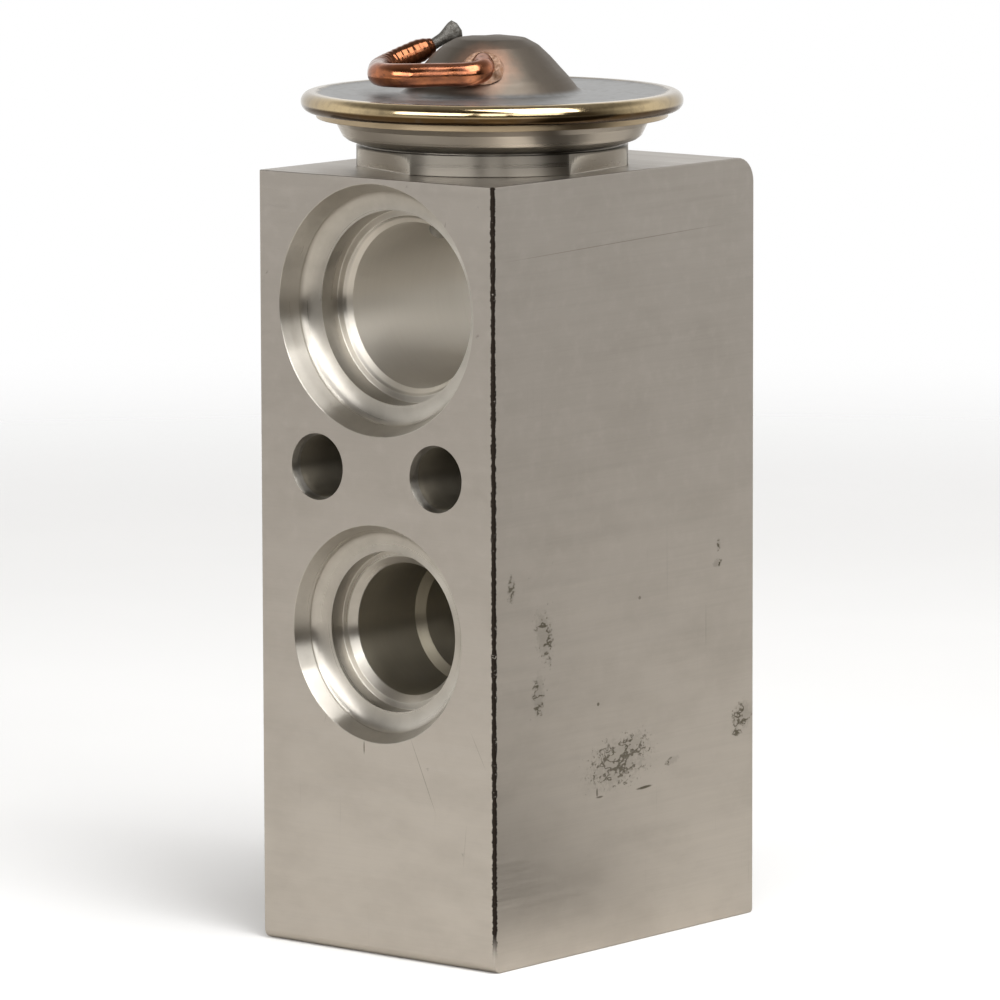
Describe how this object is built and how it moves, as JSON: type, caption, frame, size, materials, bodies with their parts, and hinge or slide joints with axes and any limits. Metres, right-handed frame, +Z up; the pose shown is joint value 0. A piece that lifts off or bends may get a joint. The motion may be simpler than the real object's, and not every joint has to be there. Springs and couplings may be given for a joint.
{
  "type": "thermostatic expansion valve",
  "caption": "Block-type expansion valve: aluminium block with stepped refrigerant ports and screw holes, diaphragm head with a domed cap and a looped copper charge tube on top.",
  "frame": {"origin": "middle of the block's flat base", "axes": "+Z up along the valve train to the head; -Y out of the face with the suction inlet and the liquid outlet; X across the block"},
  "size_m": [0.0374, 0.0415, 0.0902],
  "materials": {
    "block_aluminium": "saw cut and milled aluminium bar, bores turned bright",
    "head_steel": "turned stainless steel, bright",
    "cap_steel": "pressed stainless sheet, heat tinted at the rolled rim and the dome",
    "tube_copper": "drawn copper, darkened by brazing",
    "solder": "dull grey solder",
    "braze": "brazing metal, matt",
    "inner_steel": "hardened steel, smooth",
    "spring_steel": "spring steel",
    "rod_aluminium": "turned rod",
    "screw_brass": "turned brass",
    "seal_rubber": "moulded rubber"
  },
  "bodies": {
    "valve": {"valve_block": "block_aluminium", "lower_housing": "head_steel", "upper_housing": "cap_steel", "charge_tube": "tube_copper", "tip_solder": "solder", "tube_braze": "braze", "diaphragm": "spring_steel", "rod_seal": "seal_rubber", "seal_clip": "spring_steel", "valve_spring": "spring_steel", "orifice_seat": "inner_steel", "adjusting_screw": "screw_brass", "adjuster_seal": "seal_rubber", "head_seal": "seal_rubber"},
    "stem": {"valve_ball": "inner_steel", "ball_carrier": "inner_steel", "damping_spring": "spring_steel", "push_rod": "inner_steel", "sensing_rod": "rod_aluminium", "diaphragm_pad": "inner_steel"}
  },
  "joints": [
    {"name": "valve_opening", "type": "slide", "parent": "valve", "child": "stem", "axis": [0, 0, -1], "range_m": [0, 0.0008], "stiffness_N_per_m": 500, "springref_m": -0.001, "deforming": ["valve_spring", "diaphragm"]}
  ]
}
